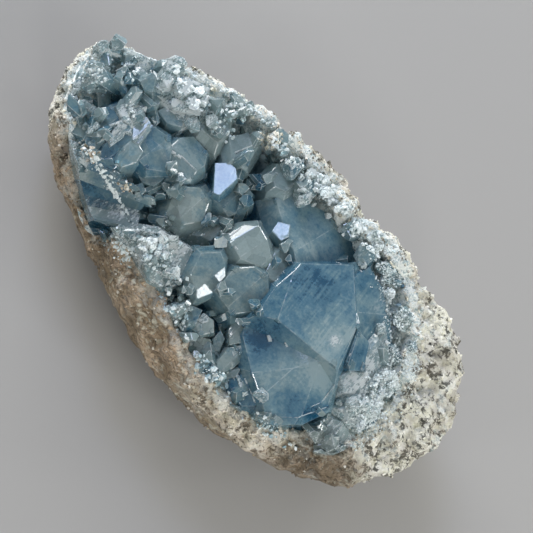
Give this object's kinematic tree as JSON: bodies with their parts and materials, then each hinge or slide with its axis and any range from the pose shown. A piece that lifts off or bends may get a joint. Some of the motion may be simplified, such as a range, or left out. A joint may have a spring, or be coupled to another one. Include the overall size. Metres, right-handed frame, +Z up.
{
  "type": "celestite crystal cluster",
  "caption": "Half of an elongated geode lying on its back: a rough pale stone shell whose open hollow is lined and filled with chunky blue celestite crystals.",
  "frame": {"origin": "on the table, under the middle of the piece's bounding box", "axes": "+Z up, out of the open hollow; +X along the length, towards the broad end; -Y towards the low side of the rim"},
  "size_m": [0.1792, 0.0888, 0.0579],
  "materials": {
    "stone": "rough, grainy, weathered",
    "celestite": "vitreous, clear to cloudy"
  },
  "bodies": {
    "root": {"stone_shell": "stone", "celestite_crust": "celestite"}
  },
  "joints": []
}
